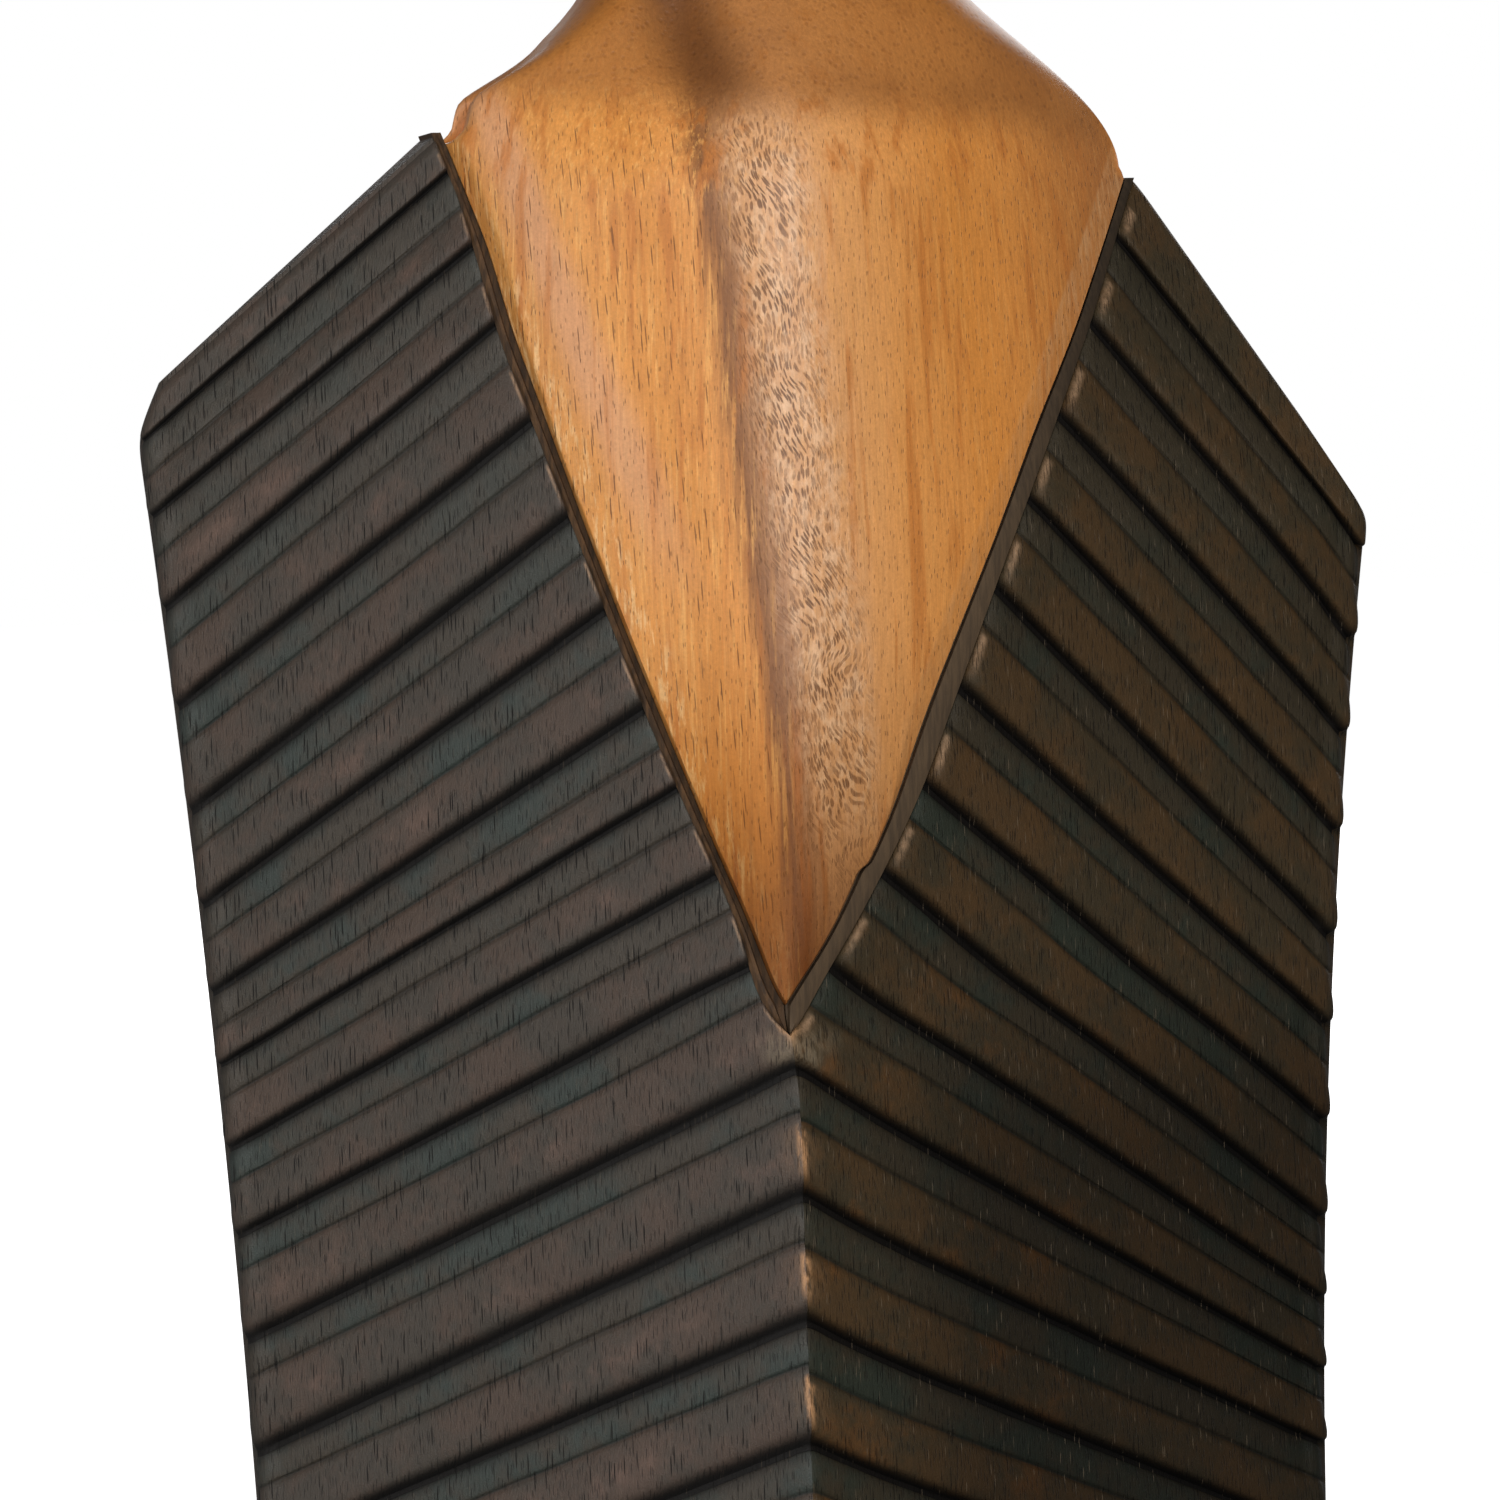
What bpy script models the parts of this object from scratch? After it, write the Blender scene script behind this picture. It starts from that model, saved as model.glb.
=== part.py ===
"""Carved headrest in the form of a robed torso: a natural-wood core in a V-necked robe of dark ribbed blocks.

Millimetres throughout, turned into metres where meshes are made. The front looks along -Y and +Z is up.
The origin is on the floor, under the front ridge line of the robe.
"""

import math

import bmesh
import bpy
from mathutils import Matrix, Vector

MM = 0.001
GAP = 0.3                  # clearance between pieces that touch
LEFT, RIGHT = -1, 1        # sides, as seen from the front
FRONT, BACK = -1, 1

# Robe: four blocks meeting on the ridge plane x = 0 and on the side plane y = JOINT_Y
ROBE_BASE_Z = 6.0
JOINT_Y = 4.0
EDGE_LAND = 3.0            # flat on each side edge, on either side of the joint
RIDGE_Y = {FRONT: -36.0, BACK: 36.0}
REFERENCE_X = 66.0         # where the cuts' outer levels are marked
FLARE = {LEFT: (57.2, 0.035, 0.00029), RIGHT: (59.0, 0.0, 0.00055)}    # half width as c0 + c1 z + c2 z^2
CORNER = {LEFT: (63.4, 137.2, 0.44), RIGHT: (64.8, 119.5, 0.64)}       # shoulder corner x, z and chamfer

# Shoulder line, then the carver's marks for each cut: the level on the ridge and the level at REFERENCE_X
CUTS = {
    LEFT: (
        (189.8, 133.4), (184.2, 128.7), (173.2, 119.9), (163.6, 109.0), (149.8, 97.5), (136.3, 85.4),
        (123.2, 74.9), (108.8, 65.4), (98.0, 57.5), (86.2, 48.2), (74.2, 38.7), (61.5, 27.0), (48.2, 14.5),
        (35.0, 4.5), (22.0, -7.5), (9.0, -18.0), (-3.0, -28.0),
    ),
    RIGHT: (
        (216.5, 118.3), (198.5, 113.2), (181.5, 101.4), (163.5, 90.1), (149.5, 78.5), (135.2, 66.0),
        (118.3, 56.3), (103.7, 45.7), (90.0, 34.8), (75.5, 26.6), (61.5, 19.5), (48.2, 12.0), (35.0, 2.3),
        (22.0, -6.5), (9.0, -16.0), (-3.0, -26.0),
    ),
}
BOW = {LEFT: 0.0, RIGHT: 1.2}      # how far each cut drops below its straight line close to the ridge
BOW_REACH = 5.0
RIB_PROFILE = ((0.0, 1.4), (0.30, 1.1), (0.34, 0.6), (0.93, 0.0))      # share of the pitch, depth cut
RIB_SPANS = 5

# Neckline: the core's two slanting faces, with a thin dark lining between core and robe
TIP_Z = 69.0
NECKLINE = {       # level, distance of the core's edge from the ridge plane
    LEFT: ((69.0, 0.0), (80.0, 5.5), (95.0, 11.5), (112.0, 17.9), (125.0, 22.3), (140.0, 27.1), (161.8, 33.7)),
    RIGHT: ((69.0, 0.0), (80.0, 5.9), (95.0, 13.2), (112.0, 20.7), (125.0, 26.7), (140.0, 34.0), (155.4, 41.0)),
}
LINING_WIDTH = {LEFT: 1.5, RIGHT: 2.2}
LINING_RECESS = 1.6
LINING_POINT = 0.35        # width left at the lining's lower point
NECKLINE_TOP_Z = {LEFT: 161.8, RIGHT: 155.4}

# Core: chest, shoulders and neck
CORE_RECESS = 1.2
CORE_TOP_Z = 186.0
NECK_X, NECK_Y = 3.0, 3.0
NECK_HALF_WIDTH, NECK_HALF_DEPTH = 17.5, 15.0
SHOULDER_ROUND = {LEFT: 0.1, RIGHT: 1.0}       # 0 hollows at once towards the neck, 1 swells first
CORE_SPANS = 10

# Rest, sole and dowels
REST_HALF_WIDTH, REST_HALF_DEPTH = 46.0, 21.0
REST_DISH_Z, REST_TIP_Z = 196.0, 202.0
REST_SECTIONS = 16
SOLE_INSET = 1.2
DOWEL_SEGMENTS = 16

DARK_WOOD = ((0.030, 0.022, 0.018), 0.48)
LINING_BLACK = ((0.010, 0.009, 0.008), 0.60)
NATURAL_WOOD = ((0.45, 0.22, 0.075), 0.38)
DOWEL_WOOD = ((0.42, 0.26, 0.12), 0.60)


def clear_scene():
    for obj in list(bpy.data.objects):
        bpy.data.objects.remove(obj, do_unlink=True)


def wood(name, look):
    material = bpy.data.materials.new(name)
    material.use_nodes = True
    shader = material.node_tree.nodes["Principled BSDF"]
    colour, roughness = look
    shader.inputs["Base Color"].default_value = (*colour, 1.0)
    shader.inputs["Roughness"].default_value = roughness
    shader.inputs["Metallic"].default_value = 0.0
    material.diffuse_color = (*colour, 1.0)
    return material


def add_object(name, bm, material):
    bmesh.ops.recalc_face_normals(bm, faces=bm.faces)
    mesh = bpy.data.meshes.new(name)
    bm.to_mesh(mesh)
    bm.free()
    obj = bpy.data.objects.new(name, mesh)
    bpy.context.scene.collection.objects.link(obj)
    mesh.materials.append(material)
    return obj


def make_cutter(obj):
    obj.hide_render = True
    obj.display_type = "WIRE"
    obj.hide_viewport = True
    return obj


def subtract(piece, cutter):
    cut = piece.modifiers.new("cut_" + cutter.name, "BOOLEAN")
    cut.operation = "DIFFERENCE"
    cut.solver = "EXACT"
    cut.object = cutter


def blend(a, b, t):
    return a + (b - a) * t


def ease(edge0, edge1, value):
    t = min(max((value - edge0) / (edge1 - edge0), 0.0), 1.0)
    return t * t * (3.0 - 2.0 * t)


def grid_faces(bm, rows):
    """Quads between successive rows of vertices."""
    for upper, lower in zip(rows, rows[1:]):
        for i in range(len(upper) - 1):
            bm.faces.new((upper[i], upper[i + 1], lower[i + 1], lower[i]))


def loft(bm, loops):
    """Quads between closed loops of equal count, with a flat cap on each end."""
    for lower, upper in zip(loops, loops[1:]):
        count = len(lower)
        for i in range(count):
            j = (i + 1) % count
            bm.faces.new((lower[i], lower[j], upper[j], upper[i]))
    bm.faces.new(list(reversed(loops[0])))
    bm.faces.new(loops[-1])


def floor_trim(material):
    """Cutter that squares off the robe's blocks at the height of the sole."""
    bm = bmesh.new()
    size = Vector((300.0, 200.0, 100.0))
    centre = Vector((0.0, 0.0, ROBE_BASE_Z - size.z / 2))
    bmesh.ops.create_cube(bm, size=MM, matrix=Matrix.Translation(centre * MM) @ Matrix.Diagonal(size).to_4x4())
    return make_cutter(add_object("floor_trim", bm, material))


# ---- robe -------------------------------------------------------------------------------------------

def half_width(side, z):
    c0, c1, c2 = FLARE[side]
    corner_x, corner_z, chamfer = CORNER[side]
    return min(c0 + c1 * z + c2 * z * z, corner_x + chamfer * (corner_z - z))


def neckline_x(side, z):
    """Distance of the core's slanting face from the ridge plane."""
    levels = NECKLINE[side]
    for (z0, x0), (z1, x1) in zip(levels, levels[1:]):
        if z <= z1:
            break
    return x0 + (x1 - x0) * (z - z0) / (z1 - z0)


def neckline_slope(side):
    """Slope of the neckline's lowest length, down to its point."""
    (z0, x0), (z1, x1) = NECKLINE[side][:2]
    return (x1 - x0) / (z1 - z0)


def robe_y(side, facing, x, z, depth=0.0):
    """Robe face over a point: a flat wedge from the ridge to the side edge, cut in by depth."""
    edge = JOINT_Y + facing * EDGE_LAND
    share = abs(x) / half_width(side, z)
    return blend(RIDGE_Y[facing], edge, share) - facing * depth


def cut_level(side, ridge_level, fall, x):
    """Height of a cut at a distance from the ridge."""
    return ridge_level - fall * x - BOW[side] * (1.0 - math.exp(-x / BOW_REACH))


def cut_row(side, ridge_level, outer_level):
    """Points (x, z) of one cut line from the neckline or the ridge out to the side edge."""
    fall = (ridge_level - outer_level) / REFERENCE_X
    lining = LINING_WIDTH[side] + GAP
    inner, high = GAP / 2, 60.0
    if neckline_x(side, cut_level(side, ridge_level, fall, inner)) + lining > inner:
        low = inner
        for _ in range(30):
            inner = (low + high) / 2
            if inner < neckline_x(side, cut_level(side, ridge_level, fall, inner)) + lining:
                low = inner
            else:
                high = inner
    outer = REFERENCE_X
    for _ in range(30):
        outer = half_width(side, cut_level(side, ridge_level, fall, outer))
    xs = [blend(inner, outer, (i / RIB_SPANS) ** 1.5) for i in range(RIB_SPANS + 1)]
    return [(side * x, cut_level(side, ridge_level, fall, x)) for x in xs]


def rib_rows(side):
    """Every row of the ribbed face as its points and its depth, from the shoulder line down."""
    marks = CUTS[side]
    rows = [(cut_row(side, *marks[0]), RIB_PROFILE[2][1])]
    for index, (mark, following) in enumerate(zip(marks, marks[1:])):
        profile = RIB_PROFILE if index else RIB_PROFILE[-1:]
        for share, depth in profile:
            ridge_level = blend(mark[0], following[0], share)
            outer_level = blend(mark[1], following[1], share)
            rows.append((cut_row(side, ridge_level, outer_level), depth))
    return rows


def robe_block(name, side, facing, trim, material):
    bm = bmesh.new()
    back_y = JOINT_Y + facing * GAP / 2
    outer_rows, inner_rows = [], []
    for points, depth in rib_rows(side):
        outer_rows.append([
            bm.verts.new((x * MM, robe_y(side, facing, x, z, depth) * MM, z * MM)) for x, z in points
        ])
        inner_rows.append([bm.verts.new((x * MM, back_y * MM, z * MM)) for x, z in points])
    grid_faces(bm, outer_rows)
    grid_faces(bm, inner_rows)
    grid_faces(bm, [outer_rows[0], inner_rows[0]])
    grid_faces(bm, [outer_rows[-1], inner_rows[-1]])
    for end in (0, -1):
        grid_faces(bm, [[row[end] for row in outer_rows], [row[end] for row in inner_rows]])
    block = add_object(name, bm, material)
    subtract(block, trim)
    return block


def lining(name, side, material):
    """Thin dark strip between the core and the robe, right through from front to back."""
    bm = bmesh.new()
    slope = neckline_slope(side)
    point_z = TIP_Z - (LINING_WIDTH[side] - LINING_POINT) / slope
    start_z = TIP_Z + (GAP / 2 - GAP) / slope
    loops = []
    for z in (point_z, start_z, 80.0, 95.0, 112.0, 125.0, 140.0, NECKLINE_TOP_Z[side] - 1.0):
        inner = max(neckline_x(side, z) + GAP, GAP / 2)
        outer = neckline_x(side, z) + LINING_WIDTH[side]
        xs = (side * inner, side * outer)
        front = [(x, robe_y(side, FRONT, x, z, LINING_RECESS)) for x in xs]
        back = [(x, robe_y(side, BACK, x, z, LINING_RECESS)) for x in reversed(xs)]
        loops.append([bm.verts.new((x * MM, y * MM, z * MM)) for x, y in front + back])
    loft(bm, loops)
    return add_object(name, bm, material)


# ---- core -------------------------------------------------------------------------------------------

def core_half_width(side, z):
    """Half width of the core: the slanting neckline face, then the slope of the shoulder, then the neck."""
    top = NECKLINE_TOP_Z[side]
    if z <= top:
        return neckline_x(side, z)
    neck = NECK_HALF_WIDTH + side * NECK_X
    rise = (z - top) / (CORE_TOP_Z - top)
    fall_away = blend((1.0 - rise) ** 1.9, 1.0 - ease(0.0, 0.85, rise), SHOULDER_ROUND[side])
    return blend(neck, neckline_x(side, top) - 0.8, fall_away)


def core_centre_y(facing, z):
    """Depth of the core on its centre line: a steady chest that draws back into the neck."""
    chest = RIDGE_Y[facing] - facing * (1.0 + 0.05 * (z - TIP_Z))
    neck = NECK_Y + facing * NECK_HALF_DEPTH
    return blend(chest, neck, ease(150.0, 182.0, z))


def core_edge_y(side, facing, z):
    """Depth of the core where it meets the robe, closing on the neck's flanks above the shoulder."""
    level = min(z, NECKLINE_TOP_Z[side])
    x = neckline_x(side, level)
    shoulder = robe_y(side, facing, x, level, CORE_RECESS)
    flank = NECK_Y + facing * 3.0
    return blend(shoulder, flank, ease(level, CORE_TOP_Z - 8.0, z) if z > level else 0.0)


def core_loop(z):
    """One horizontal section, as (x, y): the front from left to right and the back from right to left."""
    loop = []
    roundness = ease(150.0, 180.0, z)
    for facing in (FRONT, BACK):
        centre = core_centre_y(facing, z)
        for i in range(CORE_SPANS + 1):
            u = -math.cos(math.pi * i / CORE_SPANS) * -facing
            side = LEFT if u < 0 else RIGHT
            edge = core_edge_y(side, facing, z)
            swell = blend(1.0 - abs(u) ** 1.6, math.sqrt(max(1.0 - u * u, 0.0)), roundness)
            loop.append((u * core_half_width(side, z), blend(edge, centre, swell)))
    return loop


def core(name, material):
    bm = bmesh.new()
    chest_levels = [TIP_Z + 2.0] + [blend(82.0, 150.0, i / 5) for i in range(6)] + [NECKLINE_TOP_Z[RIGHT]]
    neck_levels = [blend(NECKLINE_TOP_Z[LEFT], CORE_TOP_Z, i / 8) for i in range(9)]
    levels = chest_levels + [157.5] + neck_levels
    loops = [[bm.verts.new((x * MM, y * MM, z * MM)) for x, y in core_loop(z)] for z in levels]
    loft(bm, loops)
    return add_object(name, bm, material)


# ---- rest and sole ----------------------------------------------------------------------------------

def rest(name, material):
    """Dished rest: a bar along X whose top curves up to both ends and whose underside is flat on the neck."""
    bm = bmesh.new()
    loops = []
    for i in range(REST_SECTIONS + 1):
        u = -math.cos(math.pi * i / REST_SECTIONS) * 0.995
        top = blend(REST_DISH_Z, REST_TIP_Z, u * u)
        bottom = CORE_TOP_Z + GAP + 10.0 * max((abs(u) - 0.42) / 0.58, 0.0) ** 1.5
        half_depth = REST_HALF_DEPTH * (1.0 - 0.25 * u ** 4) * (1.0 - abs(u) ** 10 * 0.25)
        x = NECK_X + u * REST_HALF_WIDTH
        round_over = 0.16 * (top - bottom)
        section = (
            (-half_depth + 2.0, bottom), (half_depth - 2.0, bottom), (half_depth, bottom + 2 * round_over),
            (half_depth, top - 2 * round_over), (half_depth - 2.0, top - round_over), (0.0, top - 1.6),
            (-half_depth + 2.0, top - round_over), (-half_depth, top - 2 * round_over),
            (-half_depth, bottom + 2 * round_over),
        )
        loops.append([bm.verts.new((x * MM, (NECK_Y + y) * MM, z * MM)) for y, z in section])
    loft(bm, loops)
    return add_object(name, bm, material)


def sole(name, material):
    """Flat plate under the robe, with its outline set in from the robe's and a chamfered floor edge."""
    top = ROBE_BASE_Z - GAP
    edge = EDGE_LAND
    outline = [(0.0, RIDGE_Y[FRONT])]
    outline += [(half_width(RIGHT, 0.0), JOINT_Y - edge), (half_width(RIGHT, 0.0), JOINT_Y + edge)]
    outline += [(0.0, RIDGE_Y[BACK])]
    outline += [(-half_width(LEFT, 0.0), JOINT_Y + edge), (-half_width(LEFT, 0.0), JOINT_Y - edge)]
    centre = Vector((0.0, JOINT_Y))
    bm = bmesh.new()
    loops = []
    for z, inset in ((0.0, SOLE_INSET + 1.2), (1.2, SOLE_INSET), (top, SOLE_INSET)):
        shrink = 1.0 - inset / abs(RIDGE_Y[FRONT])
        points = [centre + (Vector(point) - centre) * shrink for point in outline]
        loops.append([bm.verts.new((p.x * MM, p.y * MM, z * MM)) for p in points])
    loft(bm, loops)
    return add_object(name, bm, material)


# ---- dowels -----------------------------------------------------------------------------------------

def cylinder(name, centre, axis, radius, length, material):
    bm = bmesh.new()
    bmesh.ops.create_cone(
        bm, cap_ends=True, segments=DOWEL_SEGMENTS,
        radius1=radius * MM, radius2=radius * MM, depth=length * MM,
    )
    bmesh.ops.transform(bm, matrix=Vector((0, 0, 1)).rotation_difference(Vector(axis)).to_matrix().to_4x4(),
                        verts=bm.verts)
    obj = add_object(name, bm, material)
    obj.data.shade_smooth()
    obj.data.set_sharp_from_angle(angle=math.radians(40))
    obj.location = Vector(centre) * MM
    return obj


def dowel(name, centre, axis, radius, length, pieces, material):
    """A loose dowel across a joint, with a blind bore cut for it in each piece it joins."""
    cylinder(name, centre, axis, radius, length, material)
    bore = make_cutter(cylinder(name + "_bore", centre, axis, radius + GAP, length + 2 * GAP, material))
    for piece in pieces:
        subtract(piece, bore)


def join_with_dowels(blocks, linings, core_piece, rest_piece, sole_piece, material):
    side_names = {LEFT: "left", RIGHT: "right"}
    facing_names = {FRONT: "front", BACK: "back"}
    for side in (LEFT, RIGHT):
        pair = (blocks[side, FRONT], blocks[side, BACK])
        for place, z in (("lower", 31.0), ("upper", 93.0)):
            dowel("side_dowel_%s_%s" % (side_names[side], place), (side * 38.0, JOINT_Y, z), (0, 1, 0),
                  3.0, 14.0, pair, material)
        for facing in (FRONT, BACK):
            label = "%s_%s" % (side_names[side], facing_names[facing])
            pin_x = side * (neckline_x(side, 130.0) + 1.0)
            dowel("core_dowel_" + label, (pin_x, JOINT_Y + facing * 9.0, 130.0), (1, 0, 0),
                  2.5, 16.0, (core_piece, linings[side], blocks[side, facing]), material)
            dowel("sole_dowel_" + label, (side * 30.0, JOINT_Y + facing * 9.0, ROBE_BASE_Z + 1.5), (0, 0, 1),
                  2.5, 11.0, (sole_piece, blocks[side, facing]), material)
    for facing in (FRONT, BACK):
        pair = (blocks[LEFT, facing], blocks[RIGHT, facing])
        for place, z in (("lower", 20.0), ("upper", 50.0)):
            dowel("ridge_dowel_%s_%s" % (facing_names[facing], place), (0.0, JOINT_Y + facing * 16.0, z),
                  (1, 0, 0), 3.0, 18.0, pair, material)
    dowel("neck_dowel", (NECK_X, NECK_Y, CORE_TOP_Z - 1.0), (0, 0, 1), 4.5, 15.0,
          (core_piece, rest_piece), material)


def build():
    clear_scene()
    dark = wood("dark_stained_wood", DARK_WOOD)
    black = wood("black_lining_wood", LINING_BLACK)
    natural = wood("oiled_natural_wood", NATURAL_WOOD)
    pale = wood("dowel_wood", DOWEL_WOOD)
    trim = floor_trim(dark)
    blocks = {
        (LEFT, FRONT): robe_block("robe_front_left", LEFT, FRONT, trim, dark),
        (RIGHT, FRONT): robe_block("robe_front_right", RIGHT, FRONT, trim, dark),
        (LEFT, BACK): robe_block("robe_back_left", LEFT, BACK, trim, dark),
        (RIGHT, BACK): robe_block("robe_back_right", RIGHT, BACK, trim, dark),
    }
    linings = {
        LEFT: lining("lining_left", LEFT, black),
        RIGHT: lining("lining_right", RIGHT, black),
    }
    core_piece = core("chest_core", natural)
    rest_piece = rest("head_rest", natural)
    sole_piece = sole("sole_plate", dark)
    join_with_dowels(blocks, linings, core_piece, rest_piece, sole_piece, pale)


build()
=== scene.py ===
import math

import bmesh
import bpy
from mathutils import Matrix, Vector


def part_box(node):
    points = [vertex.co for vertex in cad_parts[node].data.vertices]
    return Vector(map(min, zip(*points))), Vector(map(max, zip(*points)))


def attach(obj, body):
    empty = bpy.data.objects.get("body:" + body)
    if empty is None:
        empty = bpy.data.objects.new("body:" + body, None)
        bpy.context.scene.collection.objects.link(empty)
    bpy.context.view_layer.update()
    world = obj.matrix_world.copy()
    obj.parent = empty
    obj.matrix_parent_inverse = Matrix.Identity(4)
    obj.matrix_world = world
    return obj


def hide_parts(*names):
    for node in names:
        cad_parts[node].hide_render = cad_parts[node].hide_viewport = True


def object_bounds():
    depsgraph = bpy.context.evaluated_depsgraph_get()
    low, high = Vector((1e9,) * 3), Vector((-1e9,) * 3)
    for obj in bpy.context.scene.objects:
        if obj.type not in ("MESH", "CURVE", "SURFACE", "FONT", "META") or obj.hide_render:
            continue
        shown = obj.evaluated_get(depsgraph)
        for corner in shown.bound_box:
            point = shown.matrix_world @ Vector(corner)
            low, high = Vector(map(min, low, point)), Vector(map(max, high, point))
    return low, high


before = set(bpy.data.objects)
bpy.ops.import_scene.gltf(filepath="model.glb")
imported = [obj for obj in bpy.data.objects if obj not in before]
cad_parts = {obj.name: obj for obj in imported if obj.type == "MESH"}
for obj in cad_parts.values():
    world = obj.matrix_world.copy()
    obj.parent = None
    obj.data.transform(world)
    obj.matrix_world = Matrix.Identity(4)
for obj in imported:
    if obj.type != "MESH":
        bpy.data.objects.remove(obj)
cadLow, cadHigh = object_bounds()
mm = 0.001
left, right = -1, 1
front, back = -1, 1
sideNames = {left: "Left", right: "Right"}
facingNames = {front: "Front", back: "Back"}


def nodeBox(node):
    low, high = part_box(node)
    return low / mm, high / mm


coreLow, coreHigh = nodeBox("chest_core")
robeLow, robeHigh = nodeBox("robe_front_left")
backLow, backHigh = nodeBox("robe_back_left")
restLow, restHigh = nodeBox("head_rest")
soleLow, soleHigh = nodeBox("sole_plate")
jointY = (robeHigh.y + backLow.y) / 2
tipZ = coreLow.z - 2.0  # the carved point runs a little below the core's own lowest corner
ridgeY = {front: robeLow.y, back: backHigh.y}
print("frame loaded:", len(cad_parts), "nodes")


def blend(a, b, t):
    return a + (b - a) * t


def ease(start, stop, value):
    t = min(max((value - start) / (stop - start), 0.0), 1.0)
    return t * t * (3.0 - 2.0 * t)


def softMin(a, b, radius):
    low, gap = min(a, b), abs(a - b)
    return low - radius * math.log(1.0 + math.exp(-gap / radius))


# node helpers: a socket that does sums, and one way to add any other node

def overloaded(operation, reflected=False):
    def apply(self, other):
        first, second = (other, self) if reflected else (self, other)
        return self.combine(operation, first, second)
    return apply


class Link:
    def __init__(self, tree, socket):
        self.tree = tree
        self.socket = socket

    def combine(self, operation, first, second):
        node = self.tree.nodes.new("ShaderNodeMath")
        node.operation = operation
        for slot, value in enumerate((first, second)):
            if isinstance(value, Link):
                self.tree.links.new(value.socket, node.inputs[slot])
            else:
                node.inputs[slot].default_value = value
        return Link(self.tree, node.outputs[0])

    __add__ = overloaded("ADD")
    __radd__ = overloaded("ADD", reflected=True)
    __sub__ = overloaded("SUBTRACT")
    __rsub__ = overloaded("SUBTRACT", reflected=True)
    __mul__ = overloaded("MULTIPLY")
    __rmul__ = overloaded("MULTIPLY", reflected=True)
    __truediv__ = overloaded("DIVIDE")
    __pow__ = overloaded("POWER")

    def __neg__(self):
        return self.combine("MULTIPLY", self, -1.0)


class Tree:
    def __init__(self, tree):
        self.tree = tree

    def add(self, kind, settings=None, inputs=None, out=0):
        node = self.tree.nodes.new(kind)
        for name, value in (settings or {}).items():
            if name == "stops":
                self.setStops(node.color_ramp, value)
            elif name == "curve":
                self.setCurve(node.mapping, value)
            else:
                setattr(node, name, value)
        for name, value in (inputs or {}).items():
            socket = node.inputs[name]
            if isinstance(value, Link):
                self.tree.links.new(value.socket, socket)
            else:
                socket.default_value = value
        return Link(self.tree, node.outputs[out])

    def setStops(self, ramp, stops):
        while len(ramp.elements) < len(stops):
            ramp.elements.new(0.5)
        for element, (place, colour) in zip(ramp.elements, stops):
            element.position = place
            element.color = (*colour, 1.0)

    def setCurve(self, mapping, points):
        line = mapping.curves[0]
        while len(line.points) < len(points):
            line.points.new(0.5, 0.5)
        for point, place in zip(line.points, points):
            point.location = place
        mapping.update()

    def smoothStep(self, value, low, high):
        return self.add("ShaderNodeMapRange", {"interpolation_type": "SMOOTHSTEP"},
                        {"Value": value, "From Min": low, "From Max": high})

    def noise(self, vector, scale, detail=2.0, roughness=0.5):
        return self.add("ShaderNodeTexNoise", {},
                        {"Vector": vector, "Scale": scale, "Detail": detail, "Roughness": roughness})

    def mixColour(self, factor, first, second, mode="MIX"):
        node = self.tree.nodes.new("ShaderNodeMix")
        node.data_type = "RGBA"
        node.blend_type = mode
        for slot, value in ((0, factor), (6, first), (7, second)):
            if isinstance(value, Link):
                self.tree.links.new(value.socket, node.inputs[slot])
            elif slot == 0:
                node.inputs[slot].default_value = value
            else:
                node.inputs[slot].default_value = (*value, 1.0)
        return Link(self.tree, node.outputs[2])


# neckline: the V between the natural core and the dark robe, as distances from the ridge plane

neckline = {
    "slope": {left: 0.352, right: 0.458},
    "swell": {left: (1.9, 7.0), right: (1.0, 5.0)},
    "channelSwell": {left: (2.7, 2.6), right: (2.3, 2.0)},
    "channelBelow": 3.1,
    "topZ": {left: 161.8, right: 155.4},
    # small departures of each carved line from straight: steps are size, from z, to z, and bellies are
    # size, centre z, reach
    "coreSteps": {left: ((-0.85, 138.0, 151.0),), right: ((0.55, 126.0, 140.0),)},
    "coreBellies": {left: ((0.9, 112.0, 24.0),), right: ((0.9, 87.0, 9.0),)},
    "chipHeights": (82.4, 83.4),
    "robeSteps": {left: ((-1.1, 100.0, 74.0), (-1.7, 136.0, 157.0)),
                  right: ((-0.8, 86.0, 72.0), (-0.5, 100.0, 118.0), (-0.4, 138.0, 152.0))},
    "robeBellies": {left: ((0.3, 112.0, 20.0),), right: ((0.6, 91.0, 8.0),)},
    "lean": 0.8, "leanHeights": (75.0, 118.0), "leanReach": 56.0,
    "tipLean": 1.2, "tipReach": 6.0,
}


def ridgeLean(x, z):
    # the ridge and the point of the V lie a little to the left, most of all at the point
    shift = neckline["lean"] * (1.0 - ease(*neckline["leanHeights"], z))
    shift += neckline["tipLean"] * math.exp(-((z - tipZ) / neckline["tipReach"]) ** 2)
    return x - shift * max(0.0, 1.0 - abs(x) / neckline["leanReach"])


def departures(steps, bellies, z):
    total = 0.0
    for size, start, stop in steps:
        total += size * (ease(start, stop, z) if start < stop else 1.0 - ease(stop, start, z))
    for size, centre, reach in bellies:
        total += size * math.exp(-((z - centre) / reach) ** 2)
    return total


def coreEdge(side, z):
    above = z - tipZ
    if above <= 0.0:
        return 0.0
    width, reach = neckline["swell"][side]
    line = neckline["slope"][side] * above + width * (1.0 - math.exp(-above / reach))
    more = departures(neckline["coreSteps"][side], neckline["coreBellies"][side], z)
    return line + more * (ease(*neckline["chipHeights"], z) if side == right else 1.0)


def robeEdge(side, z):
    above = z - tipZ + neckline["channelBelow"]
    if above <= 0.0:
        return 0.0
    width, reach = neckline["channelSwell"][side]
    line = neckline["slope"][side] * above
    more = width + departures(neckline["robeSteps"][side], neckline["robeBellies"][side], z)
    return line + more * (1.0 - math.exp(-above / reach))


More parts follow.
